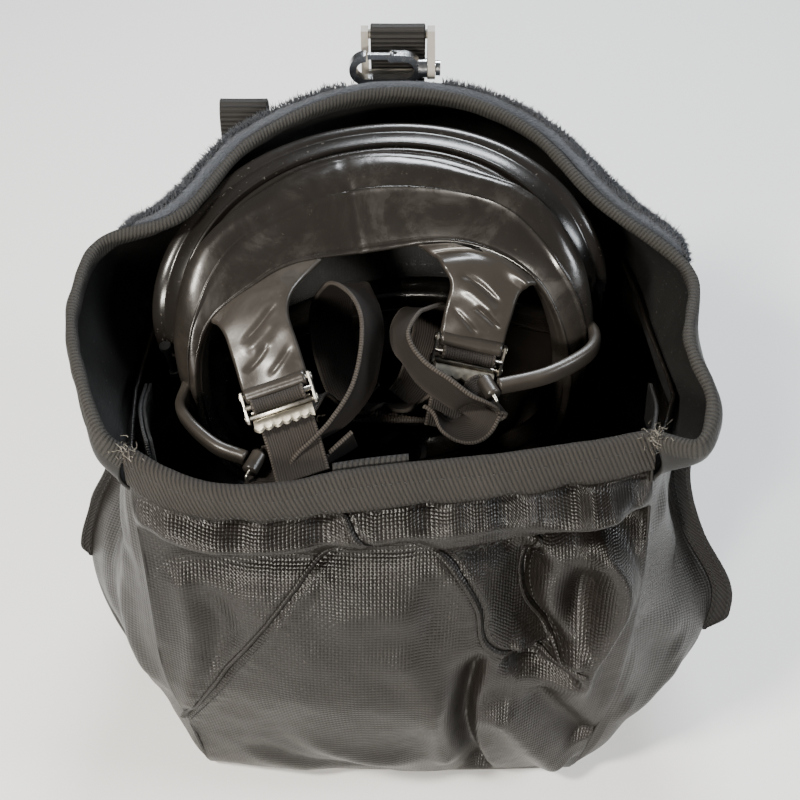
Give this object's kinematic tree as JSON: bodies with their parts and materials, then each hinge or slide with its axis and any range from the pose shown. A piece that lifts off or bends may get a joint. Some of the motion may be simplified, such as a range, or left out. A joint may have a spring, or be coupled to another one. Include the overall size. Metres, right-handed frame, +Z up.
{
  "type": "full face respirator in its pouch",
  "caption": "Full face respirator with a wrap-round lens, rubber face blank, head harness and regulator port, stowed forehead up in an open soft carrying pouch.",
  "frame": {"origin": "centre of the pouch's flat base, on its underside", "axes": "+X to the pouch's right side seen from the front, +Y towards the back where the lens faces, +Z up"},
  "size_m": [0.338, 0.2484, 0.2902],
  "materials": {
    "coated_cloth": "satin",
    "hood_cloth": "satin",
    "binding_tape": "matt",
    "fleece": "matt",
    "hook_tape": "matt",
    "webbing": "matt",
    "clip_plastic": "satin",
    "clip_metal": "polished",
    "black_rubber": "satin",
    "lens": "gloss",
    "frame_plastic": "gloss",
    "cover_plastic": "matt",
    "screws": "satin",
    "valve_rubber": "matt",
    "diaphragm_film": "satin",
    "nose_cup_rubber": "matt",
    "buckle_steel": "satin",
    "cam_steel": "satin",
    "elastic": "matt",
    "pad_cloth": "matt"
  },
  "bodies": {
    "pouch": {"base_panel": "coated_cloth", "front_yoke": "coated_cloth", "front_lower_panel": "coated_cloth", "side_panel_left": "coated_cloth", "side_panel_right": "coated_cloth", "back_panel": "coated_cloth", "wing_hem_left": "coated_cloth", "wing_hem_right": "coated_cloth", "mouth_binding": "binding_tape", "hood": "hood_cloth", "hood_binding": "binding_tape", "fleece_band": "fleece", "hook_strip_left": "hook_tape", "hook_strip_right": "hook_tape", "id_tab": "webbing", "grab_loop": "webbing", "hanger_webbing": "webbing", "clip_frame": "clip_plastic"},
    "facepiece": {"face_blank": "black_rubber", "lens": "lens", "lens_frame_upper": "frame_plastic", "lens_frame_lower": "frame_plastic", "frame_screws": "screws", "component_housing": "frame_plastic", "port_gasket": "black_rubber", "speaking_diaphragm": "diaphragm_film", "diaphragm_cover": "cover_plastic", "exhalation_seat": "frame_plastic", "exhalation_cover": "cover_plastic", "nose_cup": "nose_cup_rubber", "strap_upper_left": "elastic", "strap_upper_right": "elastic", "strap_lower_left": "elastic", "strap_lower_right": "elastic", "head_pad": "pad_cloth"},
    "buckle_left": {"buckle_left": "buckle_steel"},
    "buckle_right": {"buckle_right": "buckle_steel"},
    "cam_left": {"cam_left": "cam_steel"},
    "cam_right": {"cam_right": "cam_steel"},
    "wire_ring_left": {"wire_ring_left": "buckle_steel"},
    "wire_ring_right": {"wire_ring_right": "buckle_steel"},
    "inlet_valve": {"inlet_valve_disc": "valve_rubber"},
    "exhalation_valve": {"exhalation_disc": "valve_rubber"},
    "nose_valve_left": {"nose_valve_left": "valve_rubber"},
    "nose_valve_right": {"nose_valve_right": "valve_rubber"},
    "hook": {"clip_hook": "clip_metal"},
    "gate": {"clip_gate": "clip_metal"}
  },
  "joints": [
    {"name": "mask_lift", "type": "slide", "parent": "pouch", "child": "facepiece", "axis": [0, -0.2607, 0.9654], "range_m": [0, 0.26]},
    {"name": "buckle_left_swing", "type": "hinge", "parent": "facepiece", "child": "buckle_left", "pos_m": [-0.05219, -0.05006, 0.2176], "axis": [0.9469, 0.1817, 0.2654], "range_deg": [-10, 20]},
    {"name": "cam_left_turn", "type": "hinge", "parent": "buckle_left", "child": "cam_left", "pos_m": [-0.04936, -0.05771, 0.21273], "axis": [-0.9469, -0.1817, -0.2654], "range_deg": [0, 60]},
    {"name": "buckle_right_swing", "type": "hinge", "parent": "facepiece", "child": "buckle_right", "pos_m": [0.03072, -0.02451, 0.21893], "axis": [0.9754, -0.0684, -0.2095], "range_deg": [-10, 20]},
    {"name": "cam_right_turn", "type": "hinge", "parent": "buckle_right", "child": "cam_right", "pos_m": [0.02866, -0.02889, 0.21076], "axis": [-0.9754, 0.0684, 0.2095], "range_deg": [0, 60]},
    {"name": "ring_left_swing", "type": "hinge", "parent": "facepiece", "child": "wire_ring_left", "pos_m": [-0.06101, -0.07274, 0.19561], "axis": [0.4081, 0.8966, 0.1721], "range_deg": [-25, 25]},
    {"name": "ring_right_swing", "type": "hinge", "parent": "facepiece", "child": "wire_ring_right", "pos_m": [0.03737, -0.04904, 0.21638], "axis": [-0.3934, 0.9139, 0.1007], "range_deg": [-25, 25]},
    {"name": "inlet_valve_lift", "type": "slide", "parent": "facepiece", "child": "inlet_valve", "axis": [0.0738, -0.9899, 0.1212], "range_m": [0, 0.0015], "stiffness_N_per_m": 25, "springref_m": -0.001},
    {"name": "exhalation_valve_lift", "type": "slide", "parent": "facepiece", "child": "exhalation_valve", "axis": [0.091, 0.1477, -0.9848], "range_m": [0, 0.0015], "stiffness_N_per_m": 25, "springref_m": -0.001},
    {"name": "nose_valve_left_lift", "type": "slide", "parent": "facepiece", "child": "nose_valve_left", "axis": [0.9774, 0.124, -0.171], "range_m": [0, 0.001], "stiffness_N_per_m": 20, "springref_m": -0.001},
    {"name": "nose_valve_right_lift", "type": "slide", "parent": "facepiece", "child": "nose_valve_right", "axis": [-0.9273, -0.0426, -0.3719], "range_m": [0, 0.001], "stiffness_N_per_m": 20, "springref_m": -0.001},
    {"name": "hook_swivel", "type": "hinge", "parent": "pouch", "child": "hook", "pos_m": [0.013, 0.1068, 0.275], "axis": [1, 0, 0], "continuous": true},
    {"name": "gate_open", "type": "hinge", "parent": "hook", "child": "gate", "pos_m": [-0.0038, 0.1068, 0.2813], "axis": [0, -1, 0], "range_deg": [0, 30], "stiffness_Nm_per_rad": 0.01, "springref_deg": -11.46}
  ]
}
